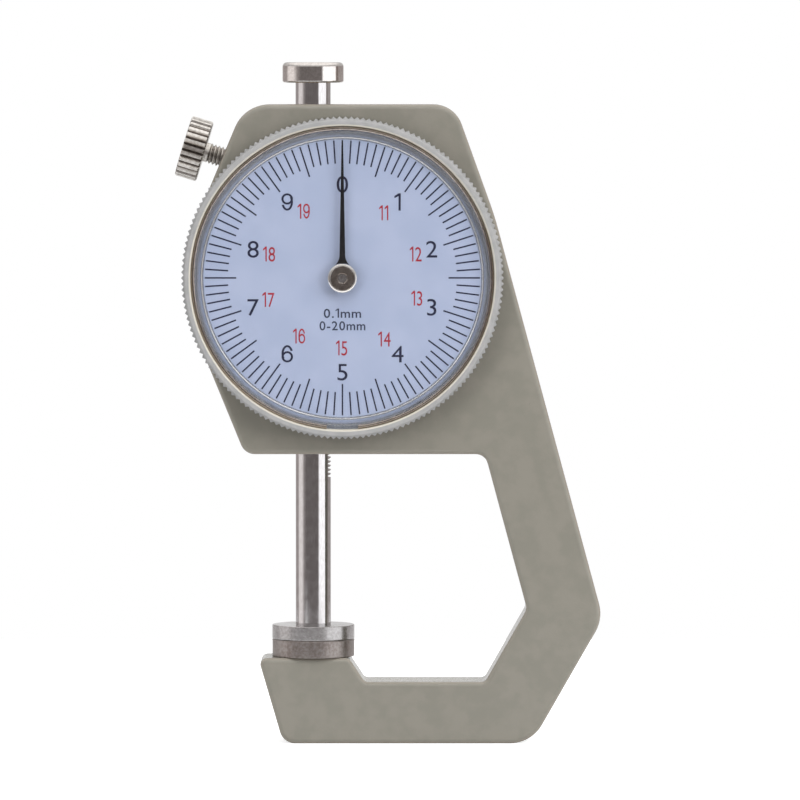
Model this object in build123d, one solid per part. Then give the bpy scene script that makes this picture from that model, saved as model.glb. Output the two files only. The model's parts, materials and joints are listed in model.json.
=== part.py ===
from build123d import *
from math import acos, cos, hypot, pi, radians, sin, tan
import os

# A dial thickness gauge: a die-cast C-frame, a spindle with its own rack and a dial head. Sizes are in
# millimetres. The origin is on the flat foot, right below the spindle's axis. +Z runs up the spindle, +X to
# the back of the C, and the dial faces -Y. A depth is measured forwards from the frame's middle plane.

# Measuring train
travel = 20.0
over_travel = 0.9
turn_travel = 10.0
pinion_teeth = 20
pressure_angle = 20.0
mesh_play = 0.02
spindle_diameter = 4.3
contact_diameter = 10.0
contact_thickness = 1.75
anvil_thickness = 2.1
anvil_stem_diameter = 4.0
anvil_stem_length = 5.0
anvil_stem_chamfer = 0.3
contact_chamfer = 0.14
stem_show = 2.6
button_diameter = 7.5
button_height = 2.5
button_edge = 0.5
contact_stud_diameter = 2.5
contact_stud_length = 1.2
button_stud_diameter = 3.0
button_stud_length = 1.5

# Frame
frame_thickness = 8.4
frame_edge = 0.6
foot_left = -3.6
foot_right = 26.5
arm_end_lean = 16.4
seat_height = 10.4
seat_right = 4.36
seat_ramp_lean = 33.4
arm_height = 7.5
throat_foot_right = 20.87
throat_head_right = 20.87
elbow_lean = 29.8
limb_lean = 15.1
limb_width = 8.62
head_height = 42.36
head_left = -8.25
lower_flank_lean = 22.3
upper_flank_lean = 22.8
shoulder_drop = 13.5
shoulder_lean = 19.8
foot_left_corner = 1.9
seat_left_corner = 0.8
seat_right_corner = 1.0
throat_foot_corner = 0.8
elbow_inside_corner = 1.3
throat_head_corner = 1.5
head_foot_corner = 1.8
cheek_corner = 22.0
head_left_corner = 4.5
head_right_corner = 3.6
shoulder_corner = 40.0
elbow_outside_corner = 4.5
foot_right_corner = 4.5

# Dial head
dial_rise = 21.46
cavity_radius = 11.5
floor_thickness = 1.3
spigot_radius = 17.45
spigot_height = 1.5
spigot_chamfer = 0.3
bezel_wall = 1.21
bezel_teeth = 170
bezel_tooth_depth = 0.22
bezel_tooth_stop = 0.5
bezel_gap = 0.2
bezel_lip = 0.44
bezel_chamfer = 0.3
bezel_ledge = 0.9
bezel_ledge_thickness = 0.3
dial_inset = 0.15
dial_thickness = 0.5
dial_hole_radius = 1.0
crystal_overhang = 0.25
crystal_wall = 0.75
crystal_height = 3.5
crystal_lens = 0.9
crystal_bead_width = 0.5
crystal_bead_height = 0.6
snap_wire = 0.62
snap_gap_angle = 12.0
bezel_wire_diameter = 0.44
bezel_wire_gap_angle = 20.0
wire_sides = 8

# Movement
arbor_radius = 0.8
pivot_radius = 0.45
front_pivot_radius = 0.5
end_shake = 0.05
pinion_width = 2.6
rack_spare_teeth = 8
rack_tip_reach = 0.1
bearing_radius = 1.5
bearing_height = 1.2
bearing_rise = 0.4
cock_back_depth = 3.9
cock_thickness = 1.0
cock_screw_x = 8.2
cock_screw_z = 4.9
cock_pad_radius = 2.0
cock_nose_radius = 2.6
cock_screw_radius = 0.8
cock_screw_head_radius = 1.3
cock_screw_head_height = 0.6
cock_screw_head_chamfer = 0.15
cock_screw_length = 3.6
screw_slot_width = 0.3
hairspring_turns = 4
hairspring_outer_radius = 4.3
hairspring_height = 0.5
hairspring_strip = 0.1
collet_radius = 1.25
collet_height = 0.9
collet_drop = 0.35
stud_radius = 0.35
hand_clearance = 0.6
hand_root = 0.68
hand_tip = 0.18
hand_thickness = 0.2
hand_boss_radius = 1.5
hand_foot = 1.35
hand_flare = 0.35
hand_flare_length = 1.5
hand_rise = 0.8
hub_radius = 1.8
hub_height = 0.7
hub_recess_radius = 1.45
hub_recess = 0.15
hub_chamfer = 0.21
hub_boss_radius = 0.65
hub_sleeve_radius = 0.9
hub_sleeve_length = 0.53

# Guides, pins and return spring
bush_radius = 3.0
upper_bush_length = 7.2
lower_bush_length = 7.4
guide_pin_radius = 0.6
guide_pin_drop = 8.2
guide_slot_skin = 0.5
spring_pin_radius = 0.45
spring_pin_drop = 10.3
spring_offset = 4.7
spring_coil_radius = 1.175
spring_wire = 0.25
spring_coils = 8
spring_length = 5.7
spring_bite = 0.03
spring_arm_share = 0.9
spring_post_radius = 0.5
spring_pocket_drop = 3.0
spring_pocket_end = 0.08
pin_hold = 1.2

# Lock screw
lock_lean = 17.0
lock_drop = 9.8
lock_screw_radius = 1.25
lock_knob_radius = 3.75
lock_knob_thickness = 2.7
lock_knob_teeth = 28
lock_knob_groove = 0.4
lock_knob_chamfer = 0.3
lock_knob_tooth_top = 0.22
lock_tip_chamfer = 0.2
lock_thread_show = 2.4
lock_pad_radius = 1.0
lock_pad_length = 2.5
lock_gap = 0.28

# Clearances
running_gap = 0.04
seat_gap = 0.01
free_gap = 0.3

# Places that follow from the sizes
contact_bottom = seat_height + anvil_thickness
spindle_bottom = contact_bottom + contact_thickness
head_bottom = spindle_bottom + travel + over_travel
head_top = head_bottom + head_height
spindle_top = head_top + stem_show
spindle_radius = spindle_diameter / 2
spindle_bore = spindle_radius + running_gap
rack_pitch = turn_travel / pinion_teeth
module = rack_pitch / pi
root_depth = 1.25 * module
pitch_radius = turn_travel / (2 * pi)
rack_pitch_line = spindle_radius - module
dial_x = rack_pitch_line + pitch_radius + mesh_play
dial_z = head_bottom + dial_rise

frame_front = frame_thickness / 2
floor_depth = floor_thickness - frame_front
spigot_front = frame_front + spigot_height
bearing_back = floor_depth + bearing_rise - bearing_height
bearing_front = floor_depth + bearing_rise
cock_front = cock_back_depth + cock_thickness
arbor_back = bearing_front + end_shake
arbor_front = cock_back_depth - end_shake
collet_back = arbor_front - collet_height - collet_drop
hairspring_back = collet_back + (collet_height - hairspring_height) / 2
stud_offset = hairspring_outer_radius + hairspring_strip + stud_radius

dial_radius = spigot_radius - dial_inset
crystal_radius = spigot_radius + crystal_overhang
crystal_bead_radius = crystal_radius + crystal_bead_width
snap_ring_radius = crystal_radius + snap_wire / 2 + running_gap
bezel_radius = crystal_bead_radius + running_gap + bezel_wall
bezel_back = frame_front + bezel_gap
bezel_wire_depth = (bezel_back + spigot_front) / 2
bezel_wire_room = bezel_wire_diameter / 2 + running_gap
ledge_back = spigot_front + bezel_gap
dial_back = ledge_back + bezel_ledge_thickness
dial_front = dial_back + dial_thickness
bead_front = dial_front + crystal_bead_height
snap_front = bead_front + snap_wire + running_gap
bezel_front = snap_front + bezel_lip
hand_length = dial_radius - hand_clearance
hand_back = dial_front + hand_rise
hand_front = hand_back + hand_thickness
hub_front = hand_front + hub_height

guide_pin_z = dial_z - guide_pin_drop
guide_slot_front = frame_front - guide_slot_skin
spring_pin_z = dial_z - spring_pin_drop
spring_post_z = spring_pin_z - spring_length
spring_room = spring_coil_radius + spring_wire / 2 + free_gap
post_eye_radius = spring_post_radius + spring_wire / 2 + running_gap
pin_eye_radius = spring_pin_radius + spring_wire / 2 + running_gap
spring_post_reach = hypot(dial_x + spring_offset, dial_z - spring_post_z)
spring_pocket_reach = spring_post_reach + post_eye_radius + spring_wire / 2 + spring_pocket_end

lock_turn = radians(lock_lean)
lock_z = head_top - lock_drop
lock_pad_back = spindle_radius / cos(lock_turn) + lock_pad_length


def crossing(point_a, lean_a, point_b, lean_b):
    """Where two lines meet, each given by a point (X, Z) and its lean from the vertical in degrees."""
    slope_a = tan(radians(lean_a))
    slope_b = tan(radians(lean_b))
    offset = point_b[0] - point_a[0] + slope_a * point_a[1] - slope_b * point_b[1]
    z = offset / (slope_a - slope_b)
    return (point_a[0] + slope_a * (z - point_a[1]), z)


def round_bar(plane, radius, low, high):
    """A cylinder about a plane's normal, between two heights above the plane."""
    bar = Cylinder(radius, high - low, align=(Align.CENTER, Align.CENTER, Align.MIN))
    return plane * Pos(0, 0, low) * bar


def turned(plane, points):
    """A solid turned about a plane's normal from its half section of (radius, height) points."""
    section = make_face(Polyline(*points, close=True))
    body = revolve(Plane.XZ * section, Axis.Z, 360)
    return plane * body


def wire_ring(plane, radius, height, wire, gap_angle=0, gap_middle=0):
    """A ring of drawn wire about a plane's normal, whole or with a gap."""
    section = Plane.XZ * Pos(radius, height) * RegularPolygon(wire / 2, wire_sides)
    ring = revolve(section, Axis.Z, 360 - gap_angle)
    return plane * Rot(0, 0, gap_middle + gap_angle / 2) * ring


def toothed_outline(radius, depth, teeth, tops):
    """A closed outline of pointed or flat-topped teeth. tops places their corners, in shares of the pitch."""
    points = []
    step = 2 * pi / teeth
    for tooth in range(teeth):
        for top in tops:
            angle = (tooth + top) * step
            points.append((radius * cos(angle), radius * sin(angle)))
        valley = (tooth + 0.5) * step
        points.append(((radius - depth) * cos(valley), (radius - depth) * sin(valley)))
    return make_face(Polyline(*points, close=True))


front = Plane.XZ
ground = Plane.XY
dial = Plane(origin=(dial_x, 0, dial_z), x_dir=(1, 0, 0), z_dir=(0, -1, 0))
guide_axis = Plane(origin=(0, 0, guide_pin_z), x_dir=(1, 0, 0), z_dir=(0, 1, 0))
spring_pin_axis = Plane(origin=(0, 0, spring_pin_z), x_dir=(0, 0, 1), z_dir=(-1, 0, 0))
spring_post_axis = Plane(origin=(-spring_offset, 0, spring_post_z), x_dir=(-1, 0, 0), z_dir=(0, -1, 0))
stud_axis = dial * Plane(origin=(stud_offset, 0, 0))
cock_screw_axes = [Plane(dial * Pos(cock_screw_x, side * cock_screw_z)) for side in (-1, 1)]
lock = Plane(
    origin=(0, 0, lock_z),
    x_dir=(sin(lock_turn), 0, cos(lock_turn)),
    z_dir=(-cos(lock_turn), 0, sin(lock_turn)),
)
flank_x, flank_z = crossing((head_left, head_top), upper_flank_lean, (0, lock_z), lock_lean - 90)
lock_mouth = -flank_x / cos(lock_turn)


def frame_outline():
    """The C of the frame, seen from the dial's side, with its corner radii."""
    seat_left = foot_left - seat_height * tan(radians(arm_end_lean))
    ramp_foot = seat_right + (seat_height - arm_height) * tan(radians(seat_ramp_lean))
    throat_foot = (throat_foot_right, arm_height)
    throat_head = (throat_head_right, head_bottom)
    inner_elbow = crossing(throat_foot, elbow_lean, throat_head, -limb_lean)
    limb_outside = (throat_head_right + limb_width / cos(radians(limb_lean)), head_bottom)
    outer_elbow = crossing((foot_right, 0), elbow_lean, limb_outside, -limb_lean)
    shoulder_x = limb_outside[0] - (head_height - shoulder_drop) * tan(radians(limb_lean))
    head_right = shoulder_x - shoulder_drop * tan(radians(shoulder_lean))
    cheek = crossing((head_left, head_bottom), -lower_flank_lean, (head_left, head_top), upper_flank_lean)
    corners = [
        ((foot_left, 0), foot_left_corner),
        ((seat_left, seat_height), seat_left_corner),
        ((seat_right, seat_height), seat_right_corner),
        ((ramp_foot, arm_height), throat_foot_corner),
        (throat_foot, throat_foot_corner),
        (inner_elbow, elbow_inside_corner),
        (throat_head, throat_head_corner),
        ((head_left, head_bottom), head_foot_corner),
        (cheek, cheek_corner),
        ((head_left, head_top), head_left_corner),
        ((head_right, head_top), head_right_corner),
        ((shoulder_x, head_top - shoulder_drop), shoulder_corner),
        (outer_elbow, elbow_outside_corner),
        ((foot_right, 0), foot_right_corner),
    ]
    points = [corner for corner, radius in corners]
    radii = [radius for corner, radius in corners]
    return make_face(FilletPolyline(*points, radius=radii, close=True))


def spigot():
    """The round step that the bezel turns on, with the groove of the bezel's wire."""
    step = round_bar(dial, spigot_radius, floor_depth, spigot_front)
    step = chamfer(step.edges().sort_by(Axis.Y)[0], spigot_chamfer)
    low = bezel_wire_depth - bezel_wire_room
    high = bezel_wire_depth + bezel_wire_room
    groove = round_bar(dial, spigot_radius + free_gap, low, high)
    groove -= round_bar(dial, spigot_radius - bezel_wire_room, low, high)
    return step - groove


def movement_cavity():
    """The room behind the dial, less the two pillars that carry the cock."""
    room = round_bar(dial, cavity_radius, floor_depth, spigot_front)
    for axis in cock_screw_axes:
        room -= round_bar(axis, cock_pad_radius, floor_depth, cock_back_depth)
        room += round_bar(axis, cock_pad_radius + free_gap, cock_back_depth, spigot_front)
        room += round_bar(axis, cock_screw_radius + seat_gap, floor_depth, cock_back_depth)
    return room


def spring_pocket():
    """The room of the return spring and its pin's slot, open to the front and hidden by the bezel."""
    low = spring_post_z - spring_pocket_drop
    high = spring_pin_z + travel + spring_pin_radius + free_gap
    size = (2 * spring_room, spring_room + frame_thickness, high - low)
    room = Pos(-spring_offset, spring_room, low) * Box(*size, align=(Align.CENTER, Align.MAX, Align.MIN))
    room &= round_bar(dial, spring_pocket_reach, -frame_front, spigot_front)
    slot_low = spring_pin_z - spring_pin_radius - free_gap
    slot = Box(
        spring_offset,
        2 * spring_pin_radius + free_gap,
        high - slot_low,
        align=(Align.MAX, Align.CENTER, Align.MIN),
    )
    post_hole = round_bar(spring_post_axis, spring_post_radius + seat_gap, -spring_room - pin_hold, 0)
    return room + Pos(0, 0, slot_low) * slot + post_hole


def guide_slot():
    """The slot behind the spindle that the guide pin runs in."""
    low = guide_pin_z - guide_pin_radius - free_gap / 2
    high = guide_pin_z + travel + guide_pin_radius + free_gap / 2
    width = 2 * (guide_pin_radius + running_gap)
    slot = Box(width, guide_slot_front, high - low, align=(Align.CENTER, Align.MIN, Align.MIN))
    return Pos(0, 0, low) * slot


def make_frame():
    body = extrude(front * frame_outline(), frame_front, both=True)
    rim = body.faces().sort_by(Axis.Y)
    body = fillet(rim[0].edges() + rim[-1].edges(), frame_edge)
    body += spigot()
    body -= movement_cavity()
    body -= spring_pocket()
    body -= guide_slot()
    body -= round_bar(ground, spindle_radius + free_gap, head_bottom, head_top)
    body -= round_bar(ground, bush_radius + seat_gap, head_bottom, head_bottom + lower_bush_length)
    body -= round_bar(ground, bush_radius + seat_gap, head_top - upper_bush_length, head_top)
    body -= round_bar(dial, bearing_radius + seat_gap, bearing_back, floor_depth)
    anvil_hole = seat_height - anvil_stem_length
    body -= round_bar(ground, anvil_stem_diameter / 2 + seat_gap, anvil_hole, seat_height)
    hole_back = lock_pad_back - 2 * free_gap
    body -= round_bar(lock, lock_screw_radius + running_gap, hole_back, lock_mouth + lock_thread_show)
    body -= round_bar(lock, lock_pad_radius + running_gap, 0, lock_pad_back)
    return body


def make_bush(low, high):
    return round_bar(ground, bush_radius, low, high) - round_bar(ground, spindle_bore, low, high)


def make_anvil():
    disc = round_bar(ground, contact_diameter / 2, seat_height, contact_bottom)
    disc = chamfer(disc.edges().filter_by(GeomType.CIRCLE), contact_chamfer)
    stem = round_bar(ground, anvil_stem_diameter / 2, seat_height - anvil_stem_length, seat_height)
    return disc + chamfer(stem.edges().sort_by(Axis.Z)[0], anvil_stem_chamfer)


def make_contact():
    disc = round_bar(ground, contact_diameter / 2, contact_bottom, spindle_bottom)
    disc = chamfer(disc.edges().filter_by(GeomType.CIRCLE), contact_chamfer)
    socket_low = spindle_bottom - contact_stud_length - seat_gap
    return disc - round_bar(ground, contact_stud_diameter / 2 + seat_gap, socket_low, spindle_bottom)


def make_lift_button():
    cap = round_bar(ground, button_diameter / 2, spindle_top, spindle_top + button_height)
    cap = fillet(cap.edges().sort_by(Axis.Z)[-1], button_edge)
    cap = chamfer(cap.edges().sort_by(Axis.Z)[0], button_edge / 2)
    socket_high = spindle_top + button_stud_length + seat_gap
    return cap - round_bar(ground, button_stud_diameter / 2 + seat_gap, spindle_top, socket_high)


def rack_gaps():
    """The spaces between the rack's teeth. One tooth stands level with the pinion's axis at rest."""
    reach = rack_tip_reach
    flank = tan(radians(pressure_angle))
    mouth = rack_pitch / 4 + (module + reach) * flank
    root = rack_pitch / 4 - root_depth * flank
    gap = Polyline(
        (rack_pitch_line - root_depth, -root),
        (spindle_radius + reach, -mouth),
        (spindle_radius + reach, mouth),
        (rack_pitch_line - root_depth, root),
        close=True,
    )
    below = round(travel / rack_pitch) + rack_spare_teeth
    gaps = Sketch()
    for tooth in range(-below - 1, rack_spare_teeth):
        gaps += Pos(0, dial_z + (tooth + 0.5) * rack_pitch) * make_face(gap)
    return extrude(front * gaps, spindle_radius, both=True)


def make_spindle():
    """A rod with a rack down its right side, a stud at each end and two cross holes for its pins."""
    rod = round_bar(ground, spindle_radius, spindle_bottom, spindle_top)
    rod += round_bar(ground, contact_stud_diameter / 2, spindle_bottom - contact_stud_length, spindle_bottom)
    rod += round_bar(ground, button_stud_diameter / 2, spindle_top, spindle_top + button_stud_length)
    rod -= rack_gaps()
    for axis, radius in ((guide_axis, guide_pin_radius), (spring_pin_axis, spring_pin_radius)):
        rod -= round_bar(axis, radius + seat_gap, spindle_radius - pin_hold, spindle_diameter)
    return rod


def make_guide_pin():
    low = spindle_radius - pin_hold + seat_gap
    return round_bar(guide_axis, guide_pin_radius, low, guide_slot_front - free_gap / 2)


def make_spring_pin():
    low = spindle_radius - pin_hold + seat_gap
    return round_bar(spring_pin_axis, spring_pin_radius, low, spring_offset + spring_coil_radius)


def make_spring_post():
    return round_bar(spring_post_axis, spring_post_radius, seat_gap - spring_room - pin_hold, spring_room)


def make_return_spring():
    """Drawn-out coil with an eye at each end: the lower one round the post, the upper one round the pin."""
    low = spring_post_z + post_eye_radius + spring_bite
    high = spring_pin_z - pin_eye_radius - spring_bite
    coil = Helix((high - low) / spring_coils, high - low, spring_coil_radius)
    start = Plane(origin=coil @ 0, z_dir=coil % 0)
    wire = sweep(start * RegularPolygon(spring_wire / 2, 4), path=coil, is_frenet=True)
    wire = Pos(-spring_offset, 0, low) * wire
    across = Plane(origin=(-spring_offset, 0, 0), x_dir=(0, 0, 1), z_dir=(1, 0, 0))
    for level in (low, high):
        arm = round_bar(across, spring_arm_share * spring_wire / 2, 0, spring_coil_radius + spring_wire / 4)
        wire += Pos(0, 0, level) * arm
    upper_eye = Plane(origin=(-spring_offset, 0, spring_pin_z), x_dir=(0, 0, -1), z_dir=(-1, 0, 0))
    wire += wire_ring(spring_post_axis, post_eye_radius, 0, spring_wire)
    wire += wire_ring(upper_eye, pin_eye_radius, 0, spring_wire)
    return wire


def involute(angle):
    return tan(angle) - angle


def pinion_outline():
    """Involute teeth, with a space on the side of the rack so that they are in mesh at rest."""
    base_radius = pitch_radius * cos(radians(pressure_angle))
    half_at_pitch = pi / (2 * pinion_teeth) - mesh_play / (2 * pitch_radius)
    flank = []
    for radius in (pitch_radius - root_depth, base_radius, pitch_radius, pitch_radius + module):
        at = acos(base_radius / max(radius, base_radius))
        flank.append((radius, half_at_pitch + involute(radians(pressure_angle)) - involute(at)))
    points = []
    for tooth in range(pinion_teeth):
        middle = pi + (tooth + 0.5) * 2 * pi / pinion_teeth
        for radius, half in flank:
            points.append((radius * cos(middle - half), radius * sin(middle - half)))
        for radius, half in reversed(flank):
            points.append((radius * cos(middle + half), radius * sin(middle + half)))
    return make_face(Polyline(*points, close=True))


def make_pinion_arbor():
    pinion = dial * extrude(pinion_outline(), pinion_width / 2, both=True)
    arbor = round_bar(dial, arbor_radius, arbor_back, arbor_front)
    arbor += round_bar(dial, pivot_radius, bearing_back + seat_gap, arbor_back)
    arbor += round_bar(dial, front_pivot_radius, arbor_front, hub_front)
    return arbor + pinion


def make_bearing(pivot, low, high):
    return round_bar(dial, bearing_radius, low, high) - round_bar(dial, pivot + running_gap, low, high)


def cock_face():
    """The cock's outline: a nose over the arbor and a pad over each pillar."""
    discs = [Circle(cock_nose_radius)]
    for side in (-1, 1):
        discs.append(Pos(cock_screw_x, side * cock_screw_z) * Circle(cock_pad_radius))
    edges = []
    for disc in discs:
        edges += disc.edges()
    return make_hull(edges)


def make_cock():
    plate = dial * Pos(0, 0, cock_back_depth) * extrude(cock_face(), cock_thickness)
    plate -= round_bar(dial, bearing_radius + seat_gap, cock_back_depth, cock_front)
    plate -= round_bar(stud_axis, stud_radius + seat_gap, cock_back_depth, cock_front)
    for axis in cock_screw_axes:
        plate -= round_bar(axis, cock_screw_radius + running_gap, cock_back_depth, cock_front)
    return plate


def make_cock_screws():
    """Two slotted cheese-head screws."""
    head_front = cock_front + cock_screw_head_height
    slot_size = (2 * cock_screw_head_radius + free_gap, screw_slot_width, cock_screw_head_height)
    slot = Box(*slot_size, align=(Align.CENTER, Align.CENTER, Align.MIN))
    screws = []
    for axis in cock_screw_axes:
        head = round_bar(axis, cock_screw_head_radius, cock_front, head_front)
        head = chamfer(head.edges().sort_by(Axis.Y)[0], cock_screw_head_chamfer)
        head -= axis * Pos(0, 0, cock_front + cock_screw_head_height / 2) * slot
        screws.append(head + round_bar(axis, cock_screw_radius, cock_front - cock_screw_length, cock_front))
    return Compound(children=screws)


def make_hairspring():
    """A flat spiral of half circles, each half a pitch wider than the one before."""
    inner = collet_radius + running_gap + hairspring_strip / 2
    halves = 2 * hairspring_turns
    step = (hairspring_outer_radius - inner) / halves
    outside = []
    inside = []
    for half in range(halves):
        radius = inner + (half + 0.5) * step
        centre = (step / 2 if half % 2 else -step / 2, 0)
        start = 180 * (half % 2)
        outside.append(CenterArc(centre, radius + hairspring_strip / 2, start, 180))
        inside.append(CenterArc(centre, radius - hairspring_strip / 2, start, 180))
    ends = [
        Line(outside[0] @ 0, inside[0] @ 0),
        Line(outside[-1] @ 1, inside[-1] @ 1),
    ]
    strip = make_face(Wire(outside + inside + ends))
    return dial * Pos(0, 0, hairspring_back) * extrude(strip, hairspring_height)


def make_collet():
    high = collet_back + collet_height
    return round_bar(dial, collet_radius, collet_back, high) - round_bar(
        dial, arbor_radius + seat_gap, collet_back, high
    )


def make_stud():
    return round_bar(stud_axis, stud_radius, hairspring_back, cock_front)


def make_bezel():
    """Knurled ring: skirt over the spigot, ledge under the dial plate and bore for the crystal."""
    rim = bezel_radius - bezel_tooth_depth
    skirt_bore = spigot_radius + running_gap
    wire_bore = spigot_radius + bezel_wire_room + running_gap
    plate_bore = dial_radius + running_gap
    bead_bore = crystal_bead_radius + running_gap
    wire_groove = snap_ring_radius + snap_wire / 2 + seat_gap
    lip_bore = snap_ring_radius + snap_wire / 2 - running_gap
    section = [
        (rim, bezel_back),
        (rim, bezel_front - bezel_chamfer),
        (rim - bezel_chamfer, bezel_front),
        (lip_bore, bezel_front),
        (lip_bore, snap_front),
        (wire_groove, snap_front),
        (wire_groove, bead_front),
        (bead_bore, bead_front),
        (bead_bore, dial_front),
        (plate_bore, dial_front),
        (plate_bore, dial_back),
        (dial_radius - bezel_ledge, dial_back),
        (dial_radius - bezel_ledge, ledge_back),
        (skirt_bore, ledge_back),
        (skirt_bore, bezel_wire_depth + bezel_wire_room),
        (wire_bore, bezel_wire_depth + bezel_wire_room),
        (wire_bore, bezel_wire_depth - bezel_wire_room),
        (skirt_bore, bezel_wire_depth - bezel_wire_room),
        (skirt_bore, bezel_back),
    ]
    outline = toothed_outline(bezel_radius, bezel_tooth_depth, bezel_teeth, (0,))
    outline -= Circle(rim - bezel_chamfer)
    band = extrude(outline, bezel_front - bezel_back - bezel_tooth_stop)
    return turned(dial, section) + dial * Pos(0, 0, bezel_back) * band


def make_bezel_wire():
    radius = spigot_radius + running_gap / 2
    return wire_ring(dial, radius, bezel_wire_depth, bezel_wire_diameter, bezel_wire_gap_angle, 90)


def make_dial_plate():
    plate = round_bar(dial, dial_radius, dial_back, dial_front)
    return plate - round_bar(dial, dial_hole_radius, dial_back, dial_front)


def make_crystal():
    """A cap with a rounded rim, and a bead at its foot that the snap ring holds down."""
    top = dial_front + crystal_height
    cap = round_bar(dial, crystal_radius, dial_front, top)
    cap = fillet(cap.edges().sort_by(Axis.Y)[0], crystal_lens)
    hollow = round_bar(dial, crystal_radius - crystal_wall, dial_front, top - crystal_lens)
    hollow = chamfer(hollow.edges().sort_by(Axis.Y)[0], crystal_wall / 2)
    bead = round_bar(dial, crystal_bead_radius, dial_front, bead_front)
    return cap + bead - hollow


def make_snap_ring():
    height = bead_front + snap_wire / 2 + seat_gap
    return wire_ring(dial, snap_ring_radius, height, snap_wire, snap_gap_angle, -90)


def make_pointer():
    """The hand: a boss under the hub's cap, a flared root and a long taper to the tip."""
    flare_end = hub_radius + hand_flare_length
    half_tip = hand_tip / 2
    half_root = hand_root / 2
    half_end = half_root - (half_root - half_tip) * flare_end / hand_length
    half_foot = half_root + hand_flare
    blade = Polyline(
        (-half_end, flare_end),
        (-half_tip, hand_length),
        (half_tip, hand_length),
        (half_end, flare_end),
    )
    right = Spline((half_end, flare_end), (half_foot, hand_foot))
    left = Spline((-half_foot, hand_foot), (-half_end, flare_end))
    foot = Polyline((half_foot, hand_foot), (0, 0), (-half_foot, hand_foot))
    hand = make_face(Wire(blade.edges() + [right, left] + foot.edges())) + Circle(hand_boss_radius)
    hand -= Circle(front_pivot_radius + seat_gap)
    return dial * Pos(0, 0, hand_back) * extrude(hand, hand_thickness)


def make_pointer_hub():
    """Round cap over the hand, with a recessed face and a boss."""
    cap = round_bar(dial, hub_radius, hand_front, hub_front)
    cap = chamfer(cap.edges().sort_by(Axis.Y)[0], hub_chamfer)
    cap -= round_bar(dial, hub_recess_radius, hub_front - hub_recess, hub_front)
    cap += round_bar(dial, hub_boss_radius, hub_front - hub_recess, hub_front)
    return cap - round_bar(dial, front_pivot_radius + seat_gap, hand_front, hub_front)


def make_pointer_sleeve():
    low = hand_back - hub_sleeve_length
    return round_bar(dial, hub_sleeve_radius, low, hand_back) - round_bar(
        dial, front_pivot_radius + seat_gap, low, hand_back
    )


def make_lock_screw():
    """Knurled knob on a plain-turned shank, its tip against the pad."""
    knob_low = lock_mouth + lock_thread_show
    knob_high = knob_low + lock_knob_thickness
    face_radius = lock_knob_radius - lock_knob_groove
    tops = (-lock_knob_tooth_top, lock_knob_tooth_top)
    outline = toothed_outline(lock_knob_radius, lock_knob_groove, lock_knob_teeth, tops)
    knob = lock * Pos(0, 0, knob_low) * extrude(outline, lock_knob_thickness)
    section = [
        (0, knob_low),
        (face_radius, knob_low),
        (lock_knob_radius, knob_low + lock_knob_chamfer),
        (lock_knob_radius, knob_high - lock_knob_chamfer),
        (face_radius, knob_high),
        (0, knob_high),
    ]
    shank = round_bar(lock, lock_screw_radius, lock_pad_back + seat_gap, knob_low)
    shank = chamfer(shank.edges().sort_by(Axis.X)[-1], lock_tip_chamfer)
    return (knob & turned(lock, section)) + shank


def make_lock_pad():
    """Brass plug between the screw and the spindle, its face cut parallel to the spindle."""
    plug = round_bar(lock, lock_pad_radius, 0, lock_pad_back)
    side = 4 * lock_pad_back
    room = Box(side, side, side, align=(Align.MIN, Align.CENTER, Align.CENTER))
    return plug - Pos(-spindle_radius - lock_gap, 0, lock_z) * room


parts = {
    "frame": make_frame(),
    "upper_bush": make_bush(head_top - upper_bush_length, head_top),
    "lower_bush": make_bush(head_bottom, head_bottom + lower_bush_length),
    "anvil": make_anvil(),
    "spindle": make_spindle(),
    "contact": make_contact(),
    "lift_button": make_lift_button(),
    "guide_pin": make_guide_pin(),
    "spring_pin": make_spring_pin(),
    "spring_post": make_spring_post(),
    "return_spring": make_return_spring(),
    "pinion_arbor": make_pinion_arbor(),
    "rear_bearing": make_bearing(pivot_radius, bearing_back, bearing_front),
    "front_bearing": make_bearing(front_pivot_radius, cock_back_depth, cock_front),
    "cock": make_cock(),
    "cock_screws": make_cock_screws(),
    "hairspring": make_hairspring(),
    "hairspring_collet": make_collet(),
    "hairspring_stud": make_stud(),
    "pointer": make_pointer(),
    "pointer_hub": make_pointer_hub(),
    "pointer_sleeve": make_pointer_sleeve(),
    "bezel": make_bezel(),
    "bezel_wire": make_bezel_wire(),
    "dial_plate": make_dial_plate(),
    "crystal": make_crystal(),
    "snap_ring": make_snap_ring(),
    "lock_screw": make_lock_screw(),
    "lock_pad": make_lock_pad(),
}

os.makedirs("parts", exist_ok=True)
for name, solid in parts.items():
    export_step(solid, f"parts/{name}.step")
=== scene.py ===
import bmesh
import bpy
import json
from math import atan2, cos, hypot, pi, radians, sin
from mathutils import Matrix, Vector


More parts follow.
